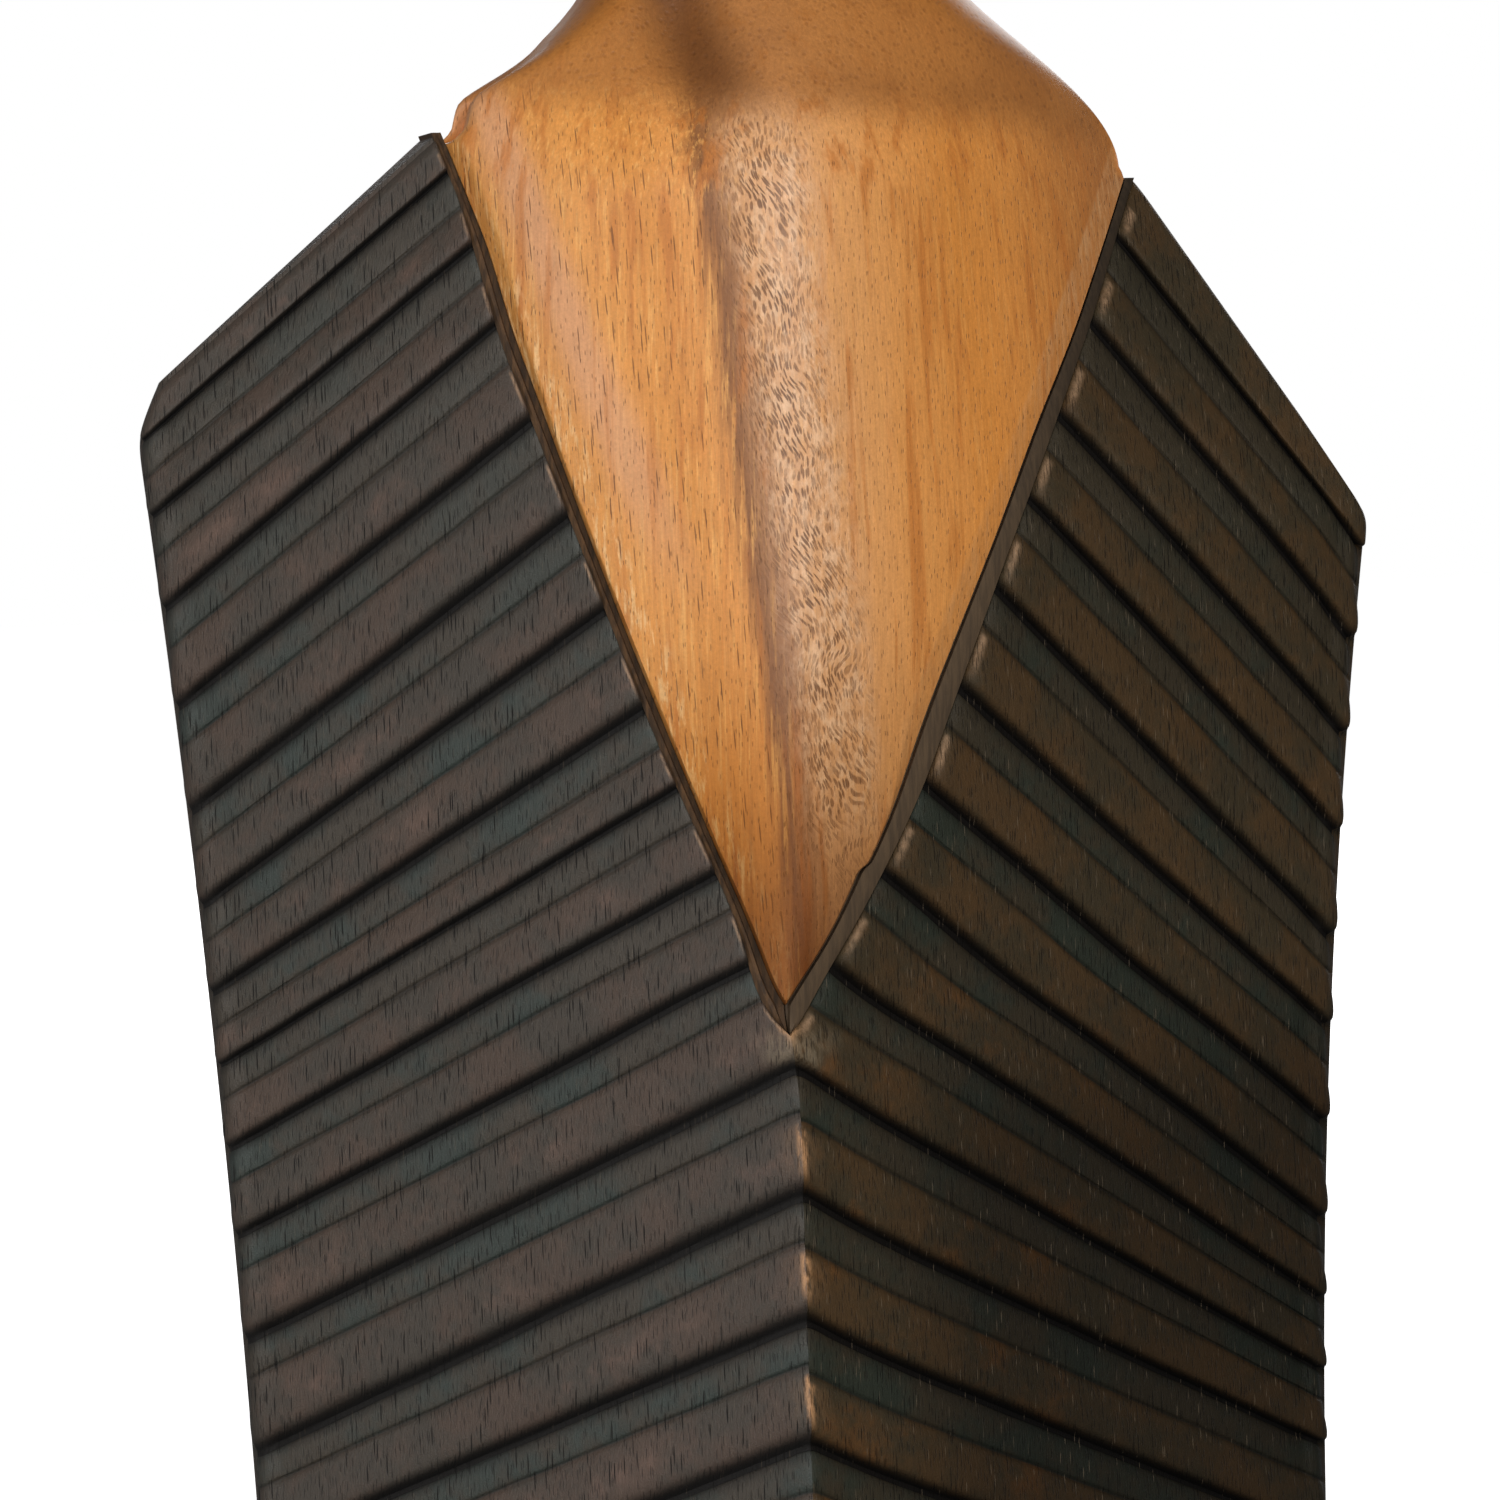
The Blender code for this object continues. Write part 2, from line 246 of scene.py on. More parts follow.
# robe blocks: a wedge face between ridge and side edge, cut into falling ribs

robe = {
    "edgeLand": 3.0,
    "reference": 66.0,
    "flare": {left: (57.2, 0.035, 0.00029), right: (59.0, 0.0, 0.00055)},
    "corner": {left: (63.4, 137.2, 0.44), right: (64.8, 119.5, 0.64)},
    # each cut: level at the ridge, level at the reference width, share of the rib where its crease lies
    "cuts": {
        left: ((189.8, 133.4, 0.34), (184.2, 128.7, 0.46), (173.2, 119.9, 0.40), (163.6, 109.0, 0.36),
               (149.8, 97.5, 0.33), (136.3, 85.4, 0.36), (123.2, 74.9, 0.37), (108.8, 65.4, 0.45),
               (98.0, 57.5, 0.37), (86.2, 48.2, 0.35), (74.2, 38.7, 0.30), (61.5, 27.0, 0.29),
               (48.2, 14.5, 0.32), (35.0, 4.5, 0.30), (22.0, -7.5, 0.34), (9.0, -18.0, 0.34),
               (-3.0, -28.0, 0.34)),
        right: ((216.5, 118.3, 0.34), (198.5, 113.2, 0.36), (181.5, 101.4, 0.35), (163.5, 90.1, 0.36),
                (149.5, 78.5, 0.33), (135.2, 66.0, 0.33), (118.3, 56.3, 0.34), (103.7, 45.7, 0.33),
                (90.0, 34.8, 0.35), (75.5, 26.6, 0.36), (61.5, 19.5, 0.35), (48.2, 12.0, 0.37),
                (35.0, 2.3, 0.38), (22.0, -6.5, 0.34), (9.0, -16.0, 0.34), (-3.0, -26.0, 0.34)),
    },
    "bow": {left: 0.0, right: 1.2},
    "bowReach": 5.0,
    "crease": 0.34,
    "gap": 0.3,
    "ridgeRound": 0.7,
    "cornerRound": 0.5,
    "columns": 104, "crowding": 0.88,  # columns crowd towards both ends of a rib
    "widestNeck": 60.0, "halvings": 40, "neckEndFade": (0.1, 1.2),
    "edgeBite": {left: 0.25, right: 0.6}, "endRadius": {left: 0.8, right: 2.0},
    "rowShares": (0.0, 0.006, 0.016, 0.03, 0.06, 0.10, 0.15, 0.20, 0.25, 0.285, 0.305, 0.318, 0.328, 0.338,
                  0.348, 0.36, 0.38, 0.42, 0.48, 0.55, 0.62, 0.68, 0.73, 0.77, 0.80, 0.825, 0.85, 0.872,
                  0.892, 0.91, 0.93, 0.95, 0.968, 0.982, 0.992),
}

# rib section from one cut down to the next: share of the pitch, height left (0 is the groove's floor)
ribSection = ((0.0, 0.05), (0.014, 0.20), (0.05, 0.29), (0.14, 0.37), (0.26, 0.43), (0.30, 0.41),
              (0.335, 0.27), (0.365, 0.44), (0.42, 0.56), (0.54, 0.76), (0.66, 0.94), (0.74, 1.0),
              (0.80, 0.97), (0.85, 0.82), (0.895, 0.50), (0.935, 0.16), (0.962, 0.0), (0.992, 0.0),
              (1.0, 0.05))


def halfWidth(side, z):
    c0, c1, c2 = robe["flare"][side]
    cornerX, cornerZ, chamfer = robe["corner"][side]
    return softMin(c0 + c1 * z + c2 * z * z, cornerX + chamfer * (cornerZ - z), robe["cornerRound"])


def robeY(side, facing, x, z):
    edge = jointY + facing * robe["edgeLand"]
    softX = math.hypot(x, robe["ridgeRound"])
    return blend(ridgeY[facing], edge, softX / halfWidth(side, z))


def cutLevel(side, ridgeLevel, fall, x):
    softX = math.hypot(x, robe["ridgeRound"]) - robe["ridgeRound"]
    return ridgeLevel - fall * softX - robe["bow"][side] * (1.0 - math.exp(-softX / robe["bowReach"]))


def cutRow(side, ridgeLevel, outerLevel):
    # one line across the face: its points, each point's distance from both ends, and whether it
    # starts at the neckline
    fall = (ridgeLevel - outerLevel) / robe["reference"]
    inner = 0.0
    if robeEdge(side, ridgeLevel) > 0.0:
        low, high = 0.0, robe["widestNeck"]
        for _ in range(robe["halvings"]):
            inner = (low + high) / 2
            if inner < robeEdge(side, cutLevel(side, ridgeLevel, fall, inner)):
                low = inner
            else:
                high = inner
    outer = robe["reference"]
    for _ in range(robe["halvings"]):
        outer = halfWidth(side, cutLevel(side, ridgeLevel, fall, outer))
    points = []
    count = robe["columns"]
    for i in range(count + 1):
        u = i / count
        t = u - robe["crowding"] * math.sin(2.0 * math.pi * u) / (2.0 * math.pi)
        x = blend(inner, outer, t)
        points.append((side * x, cutLevel(side, ridgeLevel, fall, x), x - inner, outer - x))
    return points, ease(*robe["neckEndFade"], inner)


def creasedShare(share, crease):
    # moves the drawn section so that its crease lies at this rib's own share
    drawn = robe["crease"]
    if share < drawn:
        return share * crease / drawn
    return crease + (share - drawn) * (1.0 - crease) / (1.0 - drawn)


def flatBlock(side, facing):
    # closed block with a plain wedge face; each face point keeps where it lies on the ribs
    bm = bmesh.new()
    layers = {name: bm.verts.layers.float.new(name)
              for name in ("ribPlace", "fromNeck", "fromEdge", "fromTop", "neckEnd", "onFace")}
    marks = robe["cuts"][side]
    topFall = (marks[0][0] - marks[0][1]) / robe["reference"]
    faceRows, wallRows = [], []
    wallY = jointY + facing * robe["gap"] / 2
    for index in range(len(marks) - 1):
        for share in robe["rowShares"]:
            place = creasedShare(share, marks[index][2])
            levels = [blend(marks[index][k], marks[index + 1][k], place) for k in (0, 1)]
            points, neckEnd = cutRow(side, *levels)
            row = []
            for x, z, fromNeck, fromEdge in points:
                vert = bm.verts.new((ridgeLean(x, z) * mm, robeY(side, facing, x, z) * mm, z * mm))
                vert[layers["ribPlace"]] = index + share
                vert[layers["fromNeck"]] = fromNeck
                vert[layers["fromEdge"]] = fromEdge
                vert[layers["fromTop"]] = marks[0][0] - topFall * abs(x) - z
                vert[layers["neckEnd"]] = neckEnd
                vert[layers["onFace"]] = 1.0
                row.append(vert)
            faceRows.append(row)
            lowest = index == len(marks) - 2 and share == robe["rowShares"][-1]
            outermost = len(faceRows) == 1 or lowest
            wallPoints = points if outermost else (points[0], points[-1])
            wallRows.append([bm.verts.new((ridgeLean(x, z) * mm, wallY * mm, z * mm))
                             for x, z, _, _ in wallPoints])
    for upper, lower in zip(faceRows, faceRows[1:]):
        for i in range(len(upper) - 1):
            bm.faces.new((upper[i], upper[i + 1], lower[i + 1], lower[i]))
    for rows in zip(faceRows, faceRows[1:], wallRows, wallRows[1:]):
        upper, lower, wallUpper, wallLower = rows
        bm.faces.new(wallUpper + wallLower[::-1])
        bm.faces.new((upper[0], lower[0], wallLower[0], wallUpper[0]))
        bm.faces.new((upper[-1], lower[-1], wallLower[-1], wallUpper[-1]))
    for row, wall in ((faceRows[0], wallRows[0]), (faceRows[-1], wallRows[-1])):
        for i in range(len(row) - 1):
            bm.faces.new((row[i], row[i + 1], wall[i + 1], wall[i]))
    cut = bmesh.ops.bisect_plane(bm, geom=bm.verts[:] + bm.edges[:] + bm.faces[:], dist=1e-7,
                                 plane_co=(0, 0, robeLow.z * mm), plane_no=(0, 0, -1), clear_outer=True)
    rim = [part for part in cut["geom_cut"] if isinstance(part, bmesh.types.BMEdge)]
    bmesh.ops.holes_fill(bm, edges=rim, sides=0)
    bmesh.ops.recalc_face_normals(bm, faces=bm.faces)
    mesh = bpy.data.meshes.new("flatBlock")
    bm.to_mesh(mesh)
    bm.free()
    return mesh


ribCarving = {
    "broadScale": 0.06, "toolScale": 0.20, "toolSeed": 7.0,  # the two noises that make the cuts waver
    "flatTop": 0.75,                                         # no cut above this place on the top plank
    "edgeFade": (0.2, 3.0), "edgeCut": 0.35, "biteReach": 5.0, "leastNeckRound": 0.25,
    "roundLimit": 0.995,                                     # keeps a rounding off the vertical
}


def ribCarver():
    # Geometry Nodes: cuts the rib section into the face, rounds its ends and wavers like hand work
    group = bpy.data.node_groups.new("carveRibs", "GeometryNodeTree")
    face = group.interface
    face.new_socket("Geometry", in_out="OUTPUT", socket_type="NodeSocketGeometry")
    face.new_socket("Geometry", in_out="INPUT", socket_type="NodeSocketGeometry")
    sizes = {"cutDepth": 1.75, "endRadius": 0.9, "edgeRadius": 1.2, "edgeBite": 0.5, "topRadius": 1.0,
             "waver": 0.02, "undulation": 0.12, "fall": 0.75, "side": 1.0, "facing": -1.0, "seed": 0.0}
    for name, value in sizes.items():
        socket = face.new_socket(name, in_out="INPUT", socket_type="NodeSocketFloat")
        socket.default_value = value
    face.new_socket("material", in_out="INPUT", socket_type="NodeSocketMaterial")
    tree = Tree(group)
    given = group.nodes.new("NodeGroupInput")
    link = {socket.name: Link(group, socket) for socket in given.outputs if socket.name}

    def stored(name):
        return tree.add("GeometryNodeInputNamedAttribute", {"data_type": "FLOAT"}, {"Name": name})

    position = tree.add("GeometryNodeInputPosition")
    inMm = tree.add("ShaderNodeVectorMath", {"operation": "SCALE"}, {"Vector": position, "Scale": 1000.0})
    broad = tree.add("ShaderNodeTexNoise", {"noise_dimensions": "4D"},
                     {"Vector": inMm, "W": link["seed"], "Scale": ribCarving["broadScale"], "Detail": 1.0})
    tool = tree.add("ShaderNodeTexNoise", {"noise_dimensions": "4D"},
                    {"Vector": inMm, "W": link["seed"] + ribCarving["toolSeed"],
                     "Scale": ribCarving["toolScale"], "Detail": 2.0})
    wavered = stored("ribPlace") + (broad - 0.5) * link["waver"] * 2.0 + (tool - 0.5) * link["waver"]
    place = tree.add("ShaderNodeMath", {"operation": "MAXIMUM"}, {0: wavered, 1: 0.0})
    share = tree.add("ShaderNodeMath", {"operation": "FRACT"}, {0: place})
    planed = tree.add("ShaderNodeMath", {"operation": "LESS_THAN"}, {0: place, 1: ribCarving["flatTop"]})
    section = tree.add("ShaderNodeFloatCurve", {"curve": ribSection}, {"Value": share})
    height = tree.add("ShaderNodeMath", {"operation": "MAXIMUM"}, {0: section, 1: planed})
    cut = 1.0 - height

    def rounding(distance, radius):
        # how far a quarter-round of this radius drops the face at this distance from its edge
        inside = tree.add("ShaderNodeMath", {"operation": "MAXIMUM"}, {0: 1.0 - distance / radius, 1: 0.0})
        return radius * (1.0 - (1.0 - inside * inside * ribCarving["roundLimit"]) ** 0.5)

    fromEdge = stored("fromEdge")
    edgeFade = tree.smoothStep(fromEdge, *ribCarving["edgeFade"])
    nearEdge = 1.0 - tree.smoothStep(fromEdge, 0.0, ribCarving["biteReach"])
    edgeCut, leastRound = ribCarving["edgeCut"], ribCarving["leastNeckRound"]
    ribCut = cut * link["cutDepth"] * (edgeCut + (1.0 - edgeCut) * edgeFade)
    neckRound = rounding(stored("fromNeck"), link["endRadius"]) * stored("neckEnd")
    neckRound = neckRound * (leastRound + (1.0 - leastRound) * height)
    edgeRound = rounding(fromEdge, link["edgeRadius"])
    topRound = rounding(stored("fromTop"), link["topRadius"])
    wave = (tool - 0.5) * link["undulation"] * 2.0
    depth = (ribCut + neckRound + edgeRound + topRound + wave) * stored("onFace") * mm
    bite = cut * link["cutDepth"] * link["edgeBite"] * nearEdge * stored("onFace") * mm
    offset = tree.add("ShaderNodeCombineXYZ", {},
                      {"X": -(bite * link["side"]), "Y": -(depth * link["facing"]), "Z": bite * link["fall"]})
    moved = tree.add("GeometryNodeSetPosition", {}, {"Geometry": link["Geometry"], "Offset": offset})

    def store(geometry, name, value):
        node = group.nodes.new("GeometryNodeStoreNamedAttribute")
        node.data_type = "FLOAT"
        node.domain = "POINT"
        node.inputs["Name"].default_value = name
        group.links.new(geometry.socket, node.inputs["Geometry"])
        group.links.new(value.socket, node.inputs["Value"])
        return Link(group, node.outputs[0])

    moved = store(moved, "ribAlong", place)
    moved = store(moved, "endPlace", stored("fromNeck") / link["endRadius"])
    realized = tree.add("GeometryNodeRealizeInstances", {}, {"Geometry": moved})
    finished = tree.add("GeometryNodeSetMaterial", {}, {"Geometry": realized, "Material": link["material"]})
    out = group.nodes.new("NodeGroupOutput")
    group.links.new(finished.socket, out.inputs["Geometry"])
    return group


def setInputs(modifier, values):
    for item in modifier.node_group.interface.items_tree:
        if item.item_type == "SOCKET" and item.in_out == "INPUT" and item.name in values:
            modifier[item.identifier] = values[item.name]


def frozen(source, name):
    # the evaluated shape as a plain mesh object
    graph = bpy.context.evaluated_depsgraph_get()
    mesh = bpy.data.meshes.new_from_object(source.evaluated_get(graph))
    bpy.data.objects.remove(source, do_unlink=True)
    mesh.name = name
    piece = bpy.data.objects.new(name, mesh)
    bpy.context.scene.collection.objects.link(piece)
    return piece


sharpDegrees = 42.0


def smoothPiece(piece):
    piece.data.shade_smooth()
    piece.data.set_sharp_from_angle(angle=math.radians(sharpDegrees))
    return piece


def ribbedBlock(side, facing, carver, material, seed):
    name = "robe%s%s" % (facingNames[facing], sideNames[side])
    source = bpy.data.objects.new(name + "Flat", flatBlock(side, facing))
    bpy.context.scene.collection.objects.link(source)
    modifier = source.modifiers.new("carve", "NODES")
    modifier.node_group = carver
    setInputs(modifier, {"side": float(side), "facing": float(facing), "seed": float(seed),
                         "edgeBite": robe["edgeBite"][side], "endRadius": robe["endRadius"][side],
                         "material": material})
    piece = smoothPiece(frozen(source, name))
    print("carved", name, len(piece.data.polygons), "faces")
    return piece


# core: chest, shoulders and neck

core = {
    "recess": 0.6,
    "neckX": 3.0, "neckY": 3.0,
    "neckHalfWidth": 17.5, "neckHalfDepth": 15.0, "neckRound": 0.004, "neckHeights": (152.0, 188.0),
    "crownDrop": 1.0, "crownLean": 0.05, "crownPower": 1.8, "overhang": 1.5, "lap": 0.8, "widest": 46.0,
    # the left shoulder stays broad and then hollows into the neck
    "shoulder": {"width": 32.3, "slope": 0.22, "flare": 22.0, "power": 2.4,
                 "swell": 1.6, "swellEnd": (4.0, 9.0)},
    # the right one falls to the neck in one sweep
    "sweepStep": 1.1, "sweepEnd": 0.85,
    "facetWidth": {left: 1.6, right: 3.0}, "facetDrop": {left: 1.4, right: 0.5}, "facetFade": 4.0,
    "facetHeights": {left: (118.0, 158.0), right: (84.0, 104.0)}, "facetGrowth": (130.0, 150.0),
    # above the neckline the sides turn from square to round by these heights
    "flankTop": 180.0, "turnTop": 182.0, "squarePower": 40.0, "roundPower": 2.4, "turnSpeed": 0.7,
    "turnOut": 2.6, "turnOutEnd": (4.0, 10.0),
    "rows": 200, "spans": 96,
    # hollows and swells on the front: x, z, half sizes, how deep (swells are negative)
    "relief": (
        (-8.5, 172.0, 4.0, 9.0, 2.4),
        (-9.0, 146.0, 6.0, 22.0, 0.7),
        (1.5, 132.0, 6.5, 40.0, -0.7),
        (21.0, 140.0, 8.0, 20.0, 0.8),
        (-23.0, 146.0, 6.0, 20.0, -0.5),
        (8.0, 171.0, 12.0, 7.0, -0.8),
    ),
}


def coreHalfWidth(side, z):
    top = neckline["topZ"][side]
    if z <= top - 1.0:
        return coreEdge(side, z)
    neck = core["neckHalfWidth"] + side * core["neckX"]
    rise = min(max((z - top) / (coreHigh.z - top), 0.0), 1.0)
    if side == left:
        shoulder = core["shoulder"]
        start, stop = shoulder["swellEnd"]
        swell = shoulder["swell"] * (1.0 - ease(top + start, top + stop, z))
        broad = shoulder["width"] - shoulder["slope"] * (z - top)
        hollowed = neck + shoulder["flare"] * (1.0 - rise) ** shoulder["power"] + swell
        flank = softMin(broad, hollowed, 0.5)
    else:
        flank = blend(neck, coreEdge(side, top) - core["sweepStep"], 1.0 - ease(0.0, core["sweepEnd"], rise))
    return blend(coreEdge(side, min(z, top)), flank, ease(top - 1.0, top, z))


def chestY(facing, x, z):
    # the carved face without its outline: a shallow swell between the two necklines, drawn back above
    side = left if x < 0 else right
    widest = coreEdge(side, neckline["topZ"][side]) + core["overhang"]
    edgeX = softMin(coreEdge(side, z), widest, 1.5) + core["lap"]
    edge = robeY(side, facing, min(edgeX, core["widest"]), z) - facing * core["recess"]
    centre = ridgeY[facing] - facing * (core["crownDrop"] + core["crownLean"] * (z - tipZ))
    across = min(abs(x) / max(edgeX, 0.1), 1.0)
    chest = blend(edge, centre, 1.0 - across ** core["crownPower"])
    neck = core["neckY"] + facing * (core["neckHalfDepth"] - core["neckRound"] * x * x)
    y = blend(chest, neck, ease(*core["neckHeights"], z))
    if facing == front:
        for centreX, centreZ, sizeX, sizeZ, deep in core["relief"]:
            spread = math.exp(-((x - centreX) / sizeX) ** 2 - ((z - centreZ) / sizeZ) ** 2)
            y += deep * spread * (1.0 - across ** 4)
    return y


def corePoint(facing, u, z):
    side = left if u < 0 else right
    top = neckline["topZ"][side]
    width = coreHalfWidth(side, z)
    x = u * width
    y = chestY(facing, x, z)
    grown = ease(*core["facetHeights"][side], z)
    if side == right:
        grown *= 0.7 + 0.7 * ease(*core["facetGrowth"], z)
    facet = core["facetWidth"][side] * grown
    fade = 1.0 - ease(top - 1.0, top + core["facetFade"], z)
    inset = width - abs(x)
    y -= facing * core["facetDrop"][side] * max(0.0, 1.0 - inset / max(facet, 0.2)) * fade
    if z > top - 1.0:
        flankY = core["neckY"] + facing * 2.0
        flank = blend(chestY(facing, side * width, z), flankY, ease(top - 1.0, core["flankTop"], z))
        turned = ease(top, core["turnTop"], z) ** core["turnSpeed"]
        power = blend(core["squarePower"], core["roundPower"], turned)
        turn = 1.0 - math.sqrt(max(1.0 - abs(u) ** power, 0.0))
        y = blend(y, flank, turn)
        if side == left:
            start, stop = core["turnOutEnd"]
            x += core["turnOut"] * turn * (1.0 - ease(top + start, top + stop, z))
    return Vector((ridgeLean(x, z), y, z)) * mm


def meshPiece(name, bm, material):
    bmesh.ops.recalc_face_normals(bm, faces=bm.faces)
    mesh = bpy.data.meshes.new(name)
    bm.to_mesh(mesh)
    bm.free()
    mesh.materials.append(material)
    piece = bpy.data.objects.new(name, mesh)
    bpy.context.scene.collection.objects.link(piece)
    return smoothPiece(piece)


def loftPiece(name, loops, material):
    bm = bmesh.new()
    rings = [[bm.verts.new(point) for point in loop] for loop in loops]
    for lower, upper in zip(rings, rings[1:]):
        for i in range(len(lower)):
            j = (i + 1) % len(lower)
            bm.faces.new((lower[i], lower[j], upper[j], upper[i]))
    bm.faces.new(list(reversed(rings[0])))
    bm.faces.new(rings[-1])
    return meshPiece(name, bm, material)


def chestPiece(material):
    loops = []
    rows = core["rows"]
    for k in range(rows + 1):
        z = blend(tipZ + 0.03, coreHigh.z, (k / rows) ** 1.15)
        loop = []
        for facing in (front, back):
            for i in range(core["spans"] + 1):
                u = facing * math.cos(math.pi * i / core["spans"])
                loop.append(corePoint(facing, u, z))
        loops.append(loop)
    return loftPiece("chestAndNeck", loops, material)


# linings: dark boards that floor the channel between core and robe, front and back

liningShape = {
    "levels": 150,
    # across the channel from the core to the robe: share, depth behind the robe's face
    "section": {left: ((0.0, 2.6), (0.40, 2.5), (0.52, 1.6), (0.75, 1.3), (1.0, 1.4)),
                right: ((0.0, 2.4), (0.10, 2.3), (0.17, 1.25), (0.60, 1.1), (1.0, 1.3))},
    "top": {left: 161.4, right: 154.4},
    "lap": 0.05, "crowding": 1.6,
}


def liningPiece(side, material):
    lap = liningShape["lap"]
    lowZ = tipZ - neckline["channelBelow"] + lap
    highZ = liningShape["top"][side]
    loops = []
    for k in range(liningShape["levels"] + 1):
        z = blend(lowZ, highZ, (k / liningShape["levels"]) ** liningShape["crowding"])
        inner, outer = coreEdge(side, z) + lap, robeEdge(side, z) + lap
        strip = [(blend(inner, outer, share), drop) for share, drop in liningShape["section"][side]]
        loop = [(ridgeLean(side * x, z), robeY(side, front, x, z) + drop) for x, drop in strip]
        loop += [(ridgeLean(side * x, z), robeY(side, back, x, z) - drop) for x, drop in reversed(strip)]
        loops.append([Vector((x, y, z)) * mm for x, y in loop])
    return loftPiece("lining" + sideNames[side], loops, material)


# dished rest

restShape = {
    "sections": 72, "ring": 64, "cornerPower": 0.42, "dish": 1.6,
    "middleHeight": 0.64, "endPower": 14, "leastEnd": 0.015, "endDrop": 0.4,
    "flatShare": 0.42, "sweepUp": 10.0, "sweepPower": 1.5, "waist": 0.25,
}


def restPiece(material):
    centreX = (restLow.x + restHigh.x) / 2
    centreY = (restLow.y + restHigh.y) / 2
    halfX = (restHigh.x - restLow.x) / 2
    halfY = (restHigh.y - restLow.y) / 2
    dishZ = blend(restLow.z, restHigh.z, restShape["middleHeight"])
    least, flat = restShape["leastEnd"], restShape["flatShare"]
    power = restShape["cornerPower"]
    loops = []
    count = restShape["sections"]
    for i in range(count + 1):
        u = -math.cos(math.pi * i / count)
        tip = math.sqrt(max(1.0 - abs(u) ** restShape["endPower"], 0.0)) * (1.0 - least) + least
        top = blend(dishZ, restHigh.z - restShape["endDrop"], u * u)
        sweep = max((abs(u) - flat) / (1.0 - flat), 0.0) ** restShape["sweepPower"]
        bottom = restLow.z + restShape["sweepUp"] * sweep
        middle, halfZ = (top + bottom) / 2, (top - bottom) / 2 * tip
        halfDepth = halfY * (1.0 - restShape["waist"] * u ** 4) * tip
        loop = []
        for j in range(restShape["ring"]):
            angle = 2.0 * math.pi * j / restShape["ring"]
            c, s = math.cos(angle), math.sin(angle)
            y = halfDepth * math.copysign(abs(c) ** power, c)
            z = middle + halfZ * math.copysign(abs(s) ** power, s)
            if s > 0:
                z -= restShape["dish"] * (1.0 - (y / halfDepth) ** 2) * s
            loop.append(Vector((centreX + u * halfX, centreY + y, z)) * mm)
        loops.append(loop)
    return loftPiece("dishedRest", loops, material)


# sole

soleShape = {"bevel": 0.7, "segments": 4}


def solePiece(material):
    middle = (soleLow + soleHigh) / 2
    land = robe["edgeLand"]
    outline = ((0.0, soleLow.y), (soleHigh.x, jointY - land), (soleHigh.x, jointY + land),
               (0.0, soleHigh.y), (soleLow.x, jointY + land), (soleLow.x, jointY - land))
    bm = bmesh.new()
    rings = [[bm.verts.new((x * mm, y * mm, z * mm)) for x, y in outline] for z in (soleLow.z, soleHigh.z)]
    for i in range(len(outline)):
        j = (i + 1) % len(outline)
        bm.faces.new((rings[0][i], rings[0][j], rings[1][j], rings[1][i]))
    bm.faces.new(list(reversed(rings[0])))
    bm.faces.new(rings[1])
    bmesh.ops.bevel(bm, geom=bm.edges[:], offset=soleShape["bevel"] * mm, segments=soleShape["segments"],
                    profile=0.5, affect="EDGES")
    return meshPiece("solePlate", bm, material)


# woods

def newWood(name, gloss):
    material = bpy.data.materials.new(name)
    material.use_nodes = True
    shader = material.node_tree.nodes["Principled BSDF"]
    shader.inputs["Specular IOR Level"].default_value = gloss
    return material, shader, Tree(material.node_tree)


def objectMm(tree, stretch=(1.0, 1.0, 1.0)):
    place = tree.add("ShaderNodeTexCoord", {}, {}, out=3)
    scale = [1000.0 * value for value in stretch]
    return tree.add("ShaderNodeMapping", {}, {"Vector": place, "Scale": scale})


def alongGrain(tree, squeeze):
    return objectMm(tree, (1.0, 1.0, squeeze))


def axes(tree):
    place = objectMm(tree)
    return [tree.add("ShaderNodeSeparateXYZ", {}, {"Vector": place}, out=k) for k in range(3)]


def pieceValue(tree, name):
    return tree.add("ShaderNodeAttribute", {"attribute_name": name}, {}, out=2)


def pores(tree, across, up, perMm, stretch, size):
    # thin dashes along the grain, drawn on the front plane
    plane = tree.add("ShaderNodeCombineXYZ", {}, {"X": across, "Y": up * stretch})
    cells = tree.add("ShaderNodeTexVoronoi", {"voronoi_dimensions": "2D", "feature": "F1"},
                     {"Vector": plane, "Scale": perMm})
    return 1.0 - tree.smoothStep(cells, size * perMm * 0.5, size * perMm)


def between(tree, value, low, high, soft):
    risen = tree.smoothStep(value, low - soft, low + soft)
    return risen * (1.0 - tree.smoothStep(value, high - soft, high + soft))


def capped(tree, value):
    return tree.add("ShaderNodeMath", {"operation": "MINIMUM"}, {0: value, 1: 1.0})


def shaded(tree, colour, shade):
    grey = tree.add("ShaderNodeCombineXYZ", {}, {"X": shade, "Y": shade, "Z": shade})
    return tree.mixColour(1.0, colour, grey, "MULTIPLY")


def connect(tree, value, socket):
    tree.tree.links.new(value.socket, socket)


def finishWood(tree, shader, colour, rough, height, strength, distance):
    connect(tree, colour, shader.inputs["Base Color"])
    connect(tree, rough, shader.inputs["Roughness"])
    bump = tree.add("ShaderNodeBump", {}, {"Strength": strength, "Distance": distance, "Height": height})
    connect(tree, bump, shader.inputs["Normal"])


